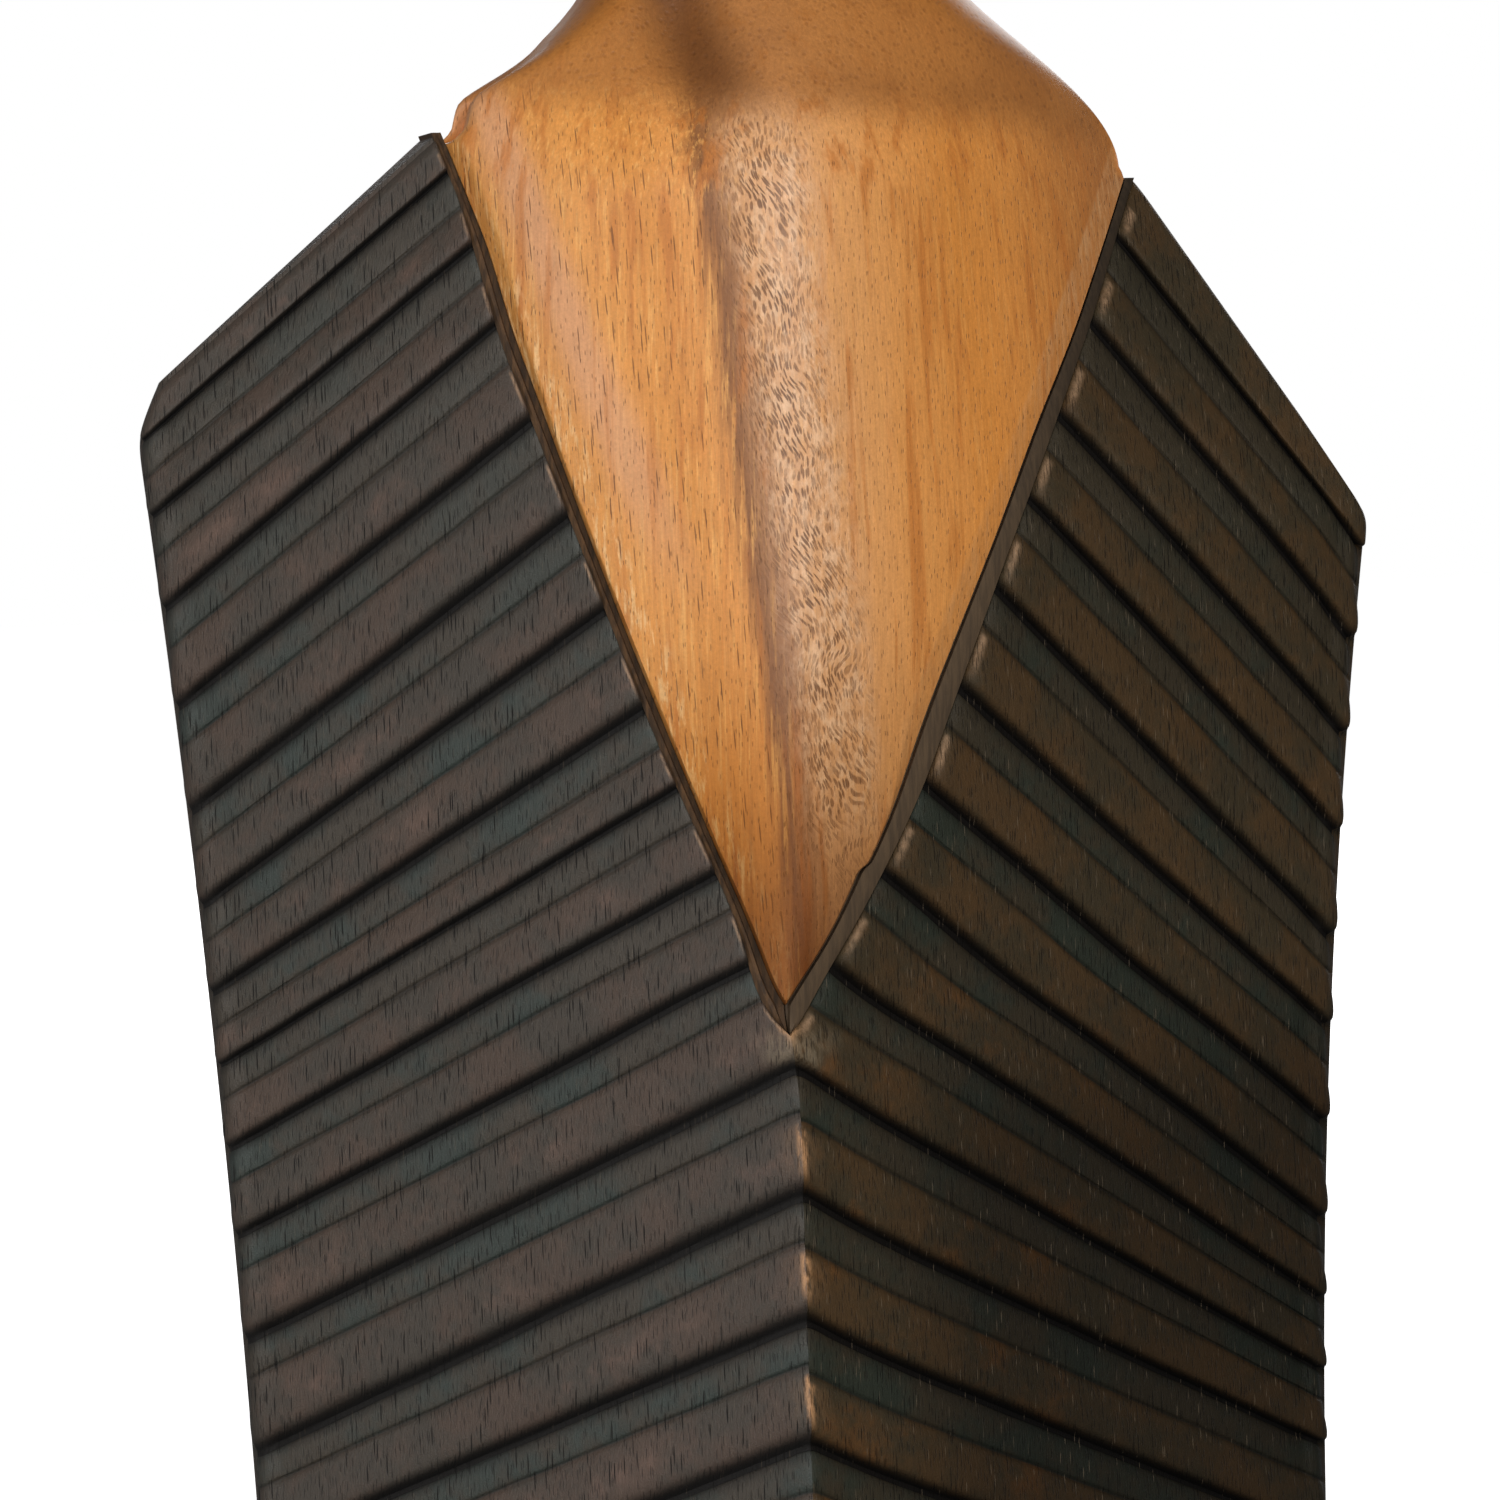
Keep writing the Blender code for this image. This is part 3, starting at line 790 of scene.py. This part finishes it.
darkWood = {
    "tones": {
        # the left tones are lighter and greyer than the right ones: partly a painted sheen from the left
        # light
        left: {"plank": (0.066, 0.044, 0.032), "plankCool": (0.048, 0.039, 0.030),
               "rust": (0.125, 0.076, 0.056), "recess": (0.047, 0.038, 0.028),
               "recessCool": (0.032, 0.040, 0.034)},
        right: {"plank": (0.060, 0.034, 0.014), "plankCool": (0.040, 0.029, 0.015),
                "rust": (0.105, 0.044, 0.012), "recess": (0.034, 0.026, 0.015),
                "recessCool": (0.022, 0.026, 0.018)},
    },
    # groove: the near-black of the painted groove shade, also used for the pores
    "groove": (0.0035, 0.0025, 0.0018), "bare": (0.42, 0.22, 0.10), "paleBareAndHighlight": (0.42, 0.26, 0.15),
    "dust": (0.30, 0.24, 0.16), "fleck": (0.16, 0.12, 0.08),
    "gloss": {left: 0.35, right: 0.12}, "coolFade": {left: 0.5, right: 0.85},
    "fleckAmount": {left: 0.2, right: 0.5}, "poreAmount": {left: 0.9, right: 0.5},
    # places down a rib, as shares of its pitch
    "firstCut": (0.72, 0.78), "recessEnd": (0.33, 0.345), "leftRustAndHighlight": (0.50, 0.70),
    # where the painted groove shade runs down a rib, and how strong the painted shade is under each plank
    "grooveShadeStart": {left: 0.77, right: 0.80}, "grooveShadeEnd": 0.94, "shadeUnderPlank": {left: 0.6, right: 0.4},
    # heights, and distances from the ridge plane
    "coolHeights": (96.0, 128.0), "dustHeights": (62.0, 65.6),
    "rustHeights": (62.0, 84.0), "rustReach": (26.0, 46.0),
    "shadeHeights": (48.0, 76.0), "shadeReach": (4.0, 22.0),
}


def darkRobeWood(name, side, ribbed=True):
    tone = darkWood["tones"][side]
    material, shader, tree = newWood(name, darkWood["gloss"][side])
    place = objectMm(tree)
    x, _, z = axes(tree)
    blotch = tree.noise(place, 0.11, 5.0, 0.68)
    patch = tree.noise(place, 0.07, 5.0, 0.7)
    grit = tree.noise(place, 4.5, 3.0, 0.75)
    grain = tree.noise(alongGrain(tree, 0.10), 4.2, 3.0, 0.7)
    streak = tree.noise(alongGrain(tree, 0.06), 1.3, 3.0, 0.65)
    colour = tree.mixColour(tree.smoothStep(blotch, 0.38, 0.62), tone["plank"], tone["plankCool"])
    rustAndHighlight = tree.smoothStep(patch, 0.50, 0.68)
    if side == right:
        lowInside = 1.0 - tree.smoothStep(z, *darkWood["rustHeights"])
        lowInside = lowInside * (1.0 - tree.smoothStep(x, *darkWood["rustReach"]))
        rustAndHighlight = rustAndHighlight * (0.2 + 0.8 * lowInside)
    rough = 0.36 + grain * 0.26
    if ribbed:
        along, fromNeck, endPlace, neckEnd, onFace = [
            pieceValue(tree, word) for word in ("ribAlong", "fromNeck", "endPlace", "neckEnd", "onFace")]
        share = tree.add("ShaderNodeMath", {"operation": "FRACT"}, {0: along})
        below = tree.smoothStep(along, *darkWood["firstCut"])
        recess = (1.0 - tree.smoothStep(share, *darkWood["recessEnd"])) * below
        cool = tree.smoothStep(tree.noise(place, 0.06, 5.0, 0.7), 0.42, 0.62)
        cool = cool * (1.0 - tree.smoothStep(z, *darkWood["coolHeights"]) * darkWood["coolFade"][side])
        recessColour = tree.mixColour(cool, tone["recess"], tone["recessCool"])
        # on the left the copper patches keep to the middle of each plank, where they also paint a highlight
        if side == left:
            rustAndHighlight = rustAndHighlight * between(tree, share, *darkWood["leftRustAndHighlight"], 0.12)
        colour = tree.mixColour(rustAndHighlight * 0.75, colour, tone["rust"])
        colour = tree.mixColour(recess, colour, recessColour)
        # painted shade down the plank's underside to the groove floor, under the plank at the top of the
        # recess and along the crease; part of it is the groove's dark stain
        grooveShade = tree.smoothStep(share, darkWood["grooveShadeStart"][side], darkWood["grooveShadeEnd"])
        grooveShade = grooveShade + (1.0 - tree.smoothStep(share, -0.01, 0.13)) * darkWood["shadeUnderPlank"][side] * below
        crease = between(tree, share, 0.325, 0.345, 0.02) * 0.6
        crease = crease + between(tree, share, 0.34, 0.36, 0.06) * 0.25
        groove = capped(tree, (grooveShade + crease * below) * onFace)
        colour = tree.mixColour(groove, colour, darkWood["groove"])
        # bare wood along the ridge, bare wood with a painted highlight on the rib ends, dust under the V
        onPlank = tree.smoothStep(share, 0.38, 0.44) * (1.0 - tree.smoothStep(share, 0.62, 0.84))
        onRidge = (1.0 - tree.smoothStep(fromNeck, 0.15, 0.75)) * 0.8
        onRidge = onRidge + (1.0 - tree.smoothStep(fromNeck, 0.2, 3.2)) * 0.14
        worn = tree.smoothStep(tree.noise(alongGrain(tree, 0.25), 1.3, 3.0, 0.7), 0.28, 0.62)
        wear = onRidge * (1.0 - neckEnd) * onPlank * worn * onFace
        colour = tree.mixColour(wear, colour, darkWood["bare"])
        dusty = between(tree, z, *darkWood["dustHeights"], 1.6) * (1.0 - tree.smoothStep(fromNeck, 0.6, 4.5))
        dusty = dusty * (1.0 - groove)
        colour = tree.mixColour(dusty * worn * 0.45 * onFace, colour, darkWood["dust"])
        # painted highlight on the rounded rib ends, with some wear
        endWearAndHighlight = between(tree, endPlace, 0.16, 0.42, 0.16) * neckEnd * onPlank * (0.3 + worn * 0.7)
        colour = tree.mixColour(endWearAndHighlight * 0.55 * onFace, colour, darkWood["paleBareAndHighlight"])
        rough = rough + groove * 0.3
    clump = tree.smoothStep(tree.noise(place, 0.22, 2.0), 0.38, 0.56)
    pore = pores(tree, x, z, 1.9, 0.055, 0.075) * clump
    finePore = pores(tree, x + 31.0, z, 3.0, 0.09, 0.06)
    fleck = pores(tree, x + 77.0, z, 2.2, 0.06, 0.05) * tree.smoothStep(streak, 0.45, 0.6)
    shade = 0.30 + grit * 0.52 + grain * 0.56 + streak * 0.32
    if side == right:
        lowShade = tree.smoothStep(x, *darkWood["shadeReach"])
        lowShade = lowShade * (1.0 - tree.smoothStep(z, *darkWood["shadeHeights"]))
        shade = shade * (1.0 - 0.5 * lowShade)
    colour = shaded(tree, colour, shade)
    colour = tree.mixColour(fleck * darkWood["fleckAmount"][side], colour, darkWood["fleck"])
    colour = tree.mixColour(pore * darkWood["poreAmount"][side], colour, darkWood["groove"])
    colour = tree.mixColour(finePore * 0.5, colour, darkWood["groove"])
    height = grain * 0.9 + grit * 0.6 - pore - finePore * 0.5
    finishWood(tree, shader, colour, rough + pore * 0.3, height, 0.8, 0.00014)
    return material


chestLook = {
    "gloss": 0.22, "coatRoughness": 0.38, "coat": 0.42,
    "span": (-34.0, 50.0),
    # across the chest, in mm from the dark streak; the paler stops just right of the streak are partly a
    # painted highlight on the central ridge
    "bands": ((-33.0, (0.50, 0.205, 0.048)), (-20.0, (0.60, 0.245, 0.055)), (-13.0, (0.66, 0.270, 0.058)),
              (-8.0, (0.60, 0.235, 0.045)), (-4.0, (0.64, 0.26, 0.062)), (-1.6, (0.23, 0.088, 0.027)),
              (0.6, (0.36, 0.160, 0.060)), (2.6, (0.58, 0.290, 0.125)), (7.5, (0.61, 0.300, 0.125)),
              (12.0, (0.66, 0.300, 0.098)), (17.0, (0.66, 0.275, 0.070)), (25.0, (0.62, 0.230, 0.040)),
              (31.0, (0.62, 0.235, 0.045)), (38.0, (0.52, 0.190, 0.037)), (46.0, (0.40, 0.137, 0.027))),
    "pinkGlare": (0.60, 0.29, 0.14), "fleck": (0.82, 0.50, 0.22), "creamAndHighlight": (0.78, 0.50, 0.30),
    "tip": (0.125, 0.034, 0.004), "endGrain": (0.36, 0.135, 0.028), "endGrainDark": (0.20, 0.066, 0.012),
    "pore": (0.13, 0.046, 0.013), "lowShadeTint": (0.60, 0.49, 0.28), "ember": (0.47, 0.150, 0.024),
    "facet": (0.62, 0.31, 0.12), "hollow": (0.11, 0.036, 0.007), "pale": (0.74, 0.36, 0.10),
    "pinkGlareHeights": (108.0, 128.0), "creamHighlightHeights": (88.0, 160.0), "dashHeights": (84.0, 162.0),
    "facetHeights": (84.0, 96.0), "facetHighlightHeights": (128.0, 146.0), "lowHeights": (84.0, 114.0),
    "tipHeights": (72.0, 94.0), "endGrainHeights": (159.0, 165.0), "hollowHeights": (163.5, 178.0),
}


def chestWoodMaterial(name, look):
    material, shader, tree = newWood(name, look["gloss"])
    place = objectMm(tree)
    x, _, z = axes(tree)
    drift = (tree.noise(objectMm(tree, (0.5, 0.5, 0.14)), 0.16, 3.0, 0.5) - 0.5) * 6.0
    fine = (tree.noise(alongGrain(tree, 0.035), 1.0, 4.0, 0.62) - 0.5) * 5.0
    # how far a point lies from the dark streak and from the two sides of the V
    fromStreak = x + 6.5 - (165.0 - z) * 0.087
    fromLeft = x + (z - 68.3) * 0.352 + 2.2
    fromRight = (z - 68.3) * 0.458 + 1.1 - x
    low, high = look["span"]
    stops = [((place - low) / (high - low), colour) for place, colour in look["bands"]]
    colour = tree.add("ShaderNodeValToRGB", {"stops": stops},
                      {"Fac": (fromStreak + drift + fine - low) / (high - low)})
    leftSide = 1.0 - tree.smoothStep(fromStreak, -3.0, 1.0)
    lines = tree.noise(alongGrain(tree, 0.03), 1.9, 4.0, 0.7)
    paleLines = tree.smoothStep(lines, 0.50, 0.68) * (0.25 + leftSide * 0.55)
    colour = tree.mixColour(paleLines, colour, look["pale"])
    ember = tree.smoothStep(tree.noise(alongGrain(tree, 0.06), 0.55, 3.0, 0.6), 0.50, 0.68)
    speck = tree.noise(alongGrain(tree, 0.18), 1.3, 4.0, 0.7)
    # painted highlight: a pink glare band along the left side of the V
    pinkGlare = between(tree, fromLeft + drift * 0.5, 4.5, 9.0, 1.6) * tree.smoothStep(z, *look["pinkGlareHeights"])
    colour = tree.mixColour(pinkGlare * 0.75, colour, look["pinkGlare"])
    # pale cream over the central ridge, partly a painted highlight
    creamHighlightZone = between(tree, fromStreak + drift * 0.5, 1.0, 9.0, 2.0)
    creamHighlightZone = creamHighlightZone * between(tree, z, *look["creamHighlightHeights"], 5.0)
    colour = tree.mixColour(ember * 0.7 * (1.0 - creamHighlightZone), colour, look["ember"])
    # painted glints on the rough strip along the left side of the V, in the fleck colour
    edgeGlints = (1.0 - tree.smoothStep(fromLeft, 1.5, 4.0)) * tree.smoothStep(speck, 0.50, 0.66)
    colour = tree.mixColour(edgeGlints * 0.8, colour, look["fleck"])
    # the bevel along the right side of the V: lighter planed wood with a painted highlight, brightest towards
    # the top
    facet = (1.0 - tree.smoothStep(fromRight, 2.6, 3.1)) * tree.smoothStep(z, *look["facetHeights"])
    facet = facet * (0.25 + 0.75 * tree.smoothStep(speck, 0.44, 0.62))
    facet = facet * (0.45 + 0.55 * tree.smoothStep(z, *look["facetHighlightHeights"]))
    colour = tree.mixColour(facet * 0.75, colour, look["facet"])
    mottle = tree.smoothStep(tree.noise(alongGrain(tree, 0.45), 0.8, 4.0, 0.72), 0.40, 0.66)
    colour = tree.mixColour(creamHighlightZone * mottle * 0.6, colour, look["creamAndHighlight"])
    # painted shade, darker towards the point of the V; the tip's colour is partly dark streaked wood
    lowShade = 1.0 - tree.smoothStep(z + drift * 1.5, *look["lowHeights"])
    colour = tree.mixColour(lowShade * (0.55 + leftSide * 0.2), colour,
                            tree.mixColour(1.0, colour, look["lowShadeTint"], "MULTIPLY"))
    tipDark = (1.0 - tree.smoothStep(z + drift * 1.5, *look["tipHeights"])) * (0.72 + ember * 0.28)
    colour = tree.mixColour(tipDark, colour, look["tip"])
    # stippled end grain on the shoulders and neck, with the hollow's shade at its left
    topZone = tree.smoothStep(z + drift * 0.6 + (x - 6.0) * 0.10, *look["endGrainHeights"])
    cells = tree.add("ShaderNodeTexVoronoi", {"feature": "F1"},
                     {"Vector": objectMm(tree, (1.0, 0.55, 1.0)), "Scale": 1.25})
    stipple = 1.0 - tree.smoothStep(cells, 0.12, 0.42)
    broad = tree.smoothStep(tree.noise(place, 0.09, 2.0), 0.38, 0.62)
    endShade = capped(tree, stipple * 0.4 + broad * 0.4)
    endGrain = tree.mixColour(endShade, look["endGrain"], look["endGrainDark"])
    colour = tree.mixColour(topZone * 0.85, colour, endGrain)
    hollow = between(tree, x + (z - 170.0) * 0.35, -10.5, -3.5, 3.2)
    hollow = hollow * between(tree, z, *look["hollowHeights"], 3.5)
    colour = tree.mixColour(hollow * 0.8, colour, look["hollow"])
    # long pores left of the streak, close short dashes along it
    lean = x + (165.0 - z) * -0.05
    clump = tree.smoothStep(tree.noise(alongGrain(tree, 0.15), 0.45, 2.0), 0.40, 0.54)
    longPore = pores(tree, lean, z, 1.7, 0.055, 0.075) * (0.2 + leftSide * 0.8) * clump
    swirl = (tree.noise(place, 0.10, 2.0) - 0.5) * 7.0
    dashZone = between(tree, fromStreak + drift * 0.8 + fine * 0.6, 0.6, 8.0, 3.4)
    dashZone = dashZone * between(tree, z, *look["dashHeights"], 8.0)
    dashZone = dashZone * (0.35 + 0.65 * tree.smoothStep(tree.noise(place, 0.3, 3.0, 0.6), 0.36, 0.60))
    dash = pores(tree, x + z * 0.30 + swirl, z, 2.7, 0.24, 0.16) * dashZone
    shortPore = pores(tree, x + 41.0, z, 1.9, 0.20, 0.065) * 0.55
    pore = capped(tree, (longPore * 0.9 + dash + shortPore) * (1.0 - topZone))
    colour = tree.mixColour(pore * 0.85, colour, look["pore"])
    grain = tree.noise(alongGrain(tree, 0.06), 3.0, 4.0, 0.65)
    grit = tree.noise(place, 2.6, 3.0, 0.7)
    colour = shaded(tree, colour, 0.47 + grain * 0.62 + grit * 0.44)
    rough = 0.32 + grain * 0.16 + pore * 0.2 + topZone * 0.08 + lowShade * 0.22
    height = grain * 0.5 + grit * 0.4 - pore * 1.2 + mottle * creamHighlightZone * 0.3 - stipple * topZone * 0.5
    finishWood(tree, shader, colour, rough, height, 0.6, 0.00016)
    shader.inputs["Coat Roughness"].default_value = look["coatRoughness"]
    connect(tree, (1.0 - lowShade) * look["coat"], shader.inputs["Coat Weight"])
    return material


plainLook = {"gloss": 0.2, "channelShadeHeights": (108.0, 145.0)}


def plainWood(name, roughness, light, dark, channelShade=0.0):
    material, shader, tree = newWood(name, plainLook["gloss"])
    grain = tree.noise(alongGrain(tree, 0.1), 2.0, 3.0, 0.6)
    grit = tree.noise(objectMm(tree), 3.0, 3.0, 0.6)
    colour = tree.mixColour(tree.smoothStep(grain, 0.3, 0.7), light, dark)
    # painted shade: the lining darker towards the top of the narrow channel
    channelShaded = tree.smoothStep(axes(tree)[2], *plainLook["channelShadeHeights"]) * channelShade
    colour = tree.mixColour(channelShaded, colour, (0.0, 0.0, 0.0))
    finishWood(tree, shader, colour, roughness - 0.1 + grit * 0.2, grain + grit * 0.5, 0.4, 0.0001)
    return material


# put together

robeWoods = {side: darkRobeWood("darkRibbedWood" + sideNames[side], side) for side in (left, right)}
# the sole takes the left blocks' tones, painted sheen included
plainDark = darkRobeWood("darkPlainWood", left, ribbed=False)
chestWood = chestWoodMaterial("oiledChestWood", chestLook)
liningWoods = {
    left: plainWood("liningWoodLeft", 0.7, (0.095, 0.050, 0.022), (0.035, 0.021, 0.012)),
    right: plainWood("liningWoodRight", 0.7, (0.098, 0.063, 0.035), (0.062, 0.041, 0.024), 0.6),
}
dowelWood = plainWood("dowelWood", 0.6, (0.42, 0.26, 0.12), (0.30, 0.17, 0.07))


def place(piece, node, slot):
    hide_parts(node)
    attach(piece, "root")


carver = ribCarver()
for side in (left, right):
    for facing in (front, back):
        block = ribbedBlock(side, facing, carver, robeWoods[side], 3 * side + facing + 10)
        place(block, "robe_%s_%s" % (facingNames[facing].lower(), sideNames[side].lower()), "dark_wood")
for side in (left, right):
    place(liningPiece(side, liningWoods[side]), "lining_" + sideNames[side].lower(), "lining_wood")
place(chestPiece(chestWood), "chest_core", "natural_wood")
print("linings, chest and neck done")
place(restPiece(chestWood), "head_rest", "natural_wood")
place(solePiece(plainDark), "sole_plate", "dark_wood")
print("rest and sole done")
for name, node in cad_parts.items():
    if "dowel" in name:
        node.material_slots[0].material = dowelWood

# floor, lights and camera

studio = {
    "floorSize": 6.0, "floorDrop": 0.0002, "floorGlow": 0.85,
    "ambient": 0.16,
    "lampTarget": (0.0, 0.0, 0.1),
    "lights": {
        "frontLight": {"place": (0.05, -1.2, 0.55), "size": 0.9, "power": 15.0},
        "leftLight": {"place": (-0.82, -0.50, 0.22), "size": 0.8, "power": 3.3},
        "backLight": {"place": (0.35, 1.15, 0.60), "size": 0.9, "power": 7.0},
    },
}


def softLight(name, spec, target):
    data = bpy.data.lights.new(name, "AREA")
    data.shape = "SQUARE"
    data.size = spec["size"]
    data.energy = spec["power"]
    lamp = bpy.data.objects.new(name, data)
    lamp.location = spec["place"]
    aim = (Vector(spec["place"]) - target).to_track_quat("Z", "Y")
    lamp.rotation_euler = aim.to_euler()
    bpy.context.scene.collection.objects.link(lamp)
    return lamp


def paleFloor():
    half = studio["floorSize"] / 2
    mesh = bpy.data.meshes.new("paleFloor")
    corners = [(-half, -half, 0), (half, -half, 0), (half, half, 0), (-half, half, 0)]
    mesh.from_pydata(corners, [], [(0, 1, 2, 3)])
    floor = bpy.data.objects.new("paleFloor", mesh)
    floor.location.z = cadLow.z - studio["floorDrop"]
    bpy.context.scene.collection.objects.link(floor)
    material = bpy.data.materials.new("paleFloor")
    material.use_nodes = True
    shader = material.node_tree.nodes["Principled BSDF"]
    shader.inputs["Base Color"].default_value = (0.9, 0.9, 0.9, 1.0)
    shader.inputs["Roughness"].default_value = 0.9
    shader.inputs["Emission Color"].default_value = (1.0, 1.0, 1.0, 1.0)
    shader.inputs["Emission Strength"].default_value = studio["floorGlow"]
    mesh.materials.append(material)
    floor.visible_diffuse = False
    floor.visible_glossy = False
    return floor


def whiteWorld():
    world = bpy.data.worlds.new("studio")
    world.use_nodes = True
    tree = Tree(world.node_tree)
    background = world.node_tree.nodes["Background"]
    seen = tree.add("ShaderNodeLightPath", {}, {}, out=0)
    strength = seen * (1.0 - studio["ambient"]) + studio["ambient"]
    background.inputs["Color"].default_value = (1.0, 1.0, 1.0, 1.0)
    world.node_tree.links.new(strength.socket, background.inputs["Strength"])
    bpy.context.scene.world = world


view = {"azimuth": -5.0, "elevation": 3.0, "distance": 1.0, "roll": 1.83,
        "target": (-3.2, -15.0, 94.8), "framed": 1500.0 / 9.4}


def cameraForView():
    azimuth, elevation = math.radians(view["azimuth"]), math.radians(view["elevation"])
    backward = Vector((math.sin(azimuth) * math.cos(elevation), -math.cos(azimuth) * math.cos(elevation),
                       math.sin(elevation)))
    target = Vector(view["target"]) * mm
    data = bpy.data.cameras.new("camera")
    data.sensor_width = 36.0
    data.lens = data.sensor_width * view["distance"] / (view["framed"] * mm)
    data.clip_start = 0.01
    camera = bpy.data.objects.new("camera", data)
    turn = backward.to_track_quat("Z", "Y").to_matrix()
    roll = Matrix.Rotation(-math.radians(view["roll"]), 3, "Z")
    camera.matrix_world = Matrix.Translation(target + backward * view["distance"]) @ (turn @ roll).to_4x4()
    bpy.context.scene.collection.objects.link(camera)
    bpy.context.scene.camera = camera


bpy.context.scene.view_settings.view_transform = "Standard"
paleFloor()
whiteWorld()
for name, spec in studio["lights"].items():
    softLight(name, spec, Vector(studio["lampTarget"]))
cameraForView()
print("stage, lights and camera done")
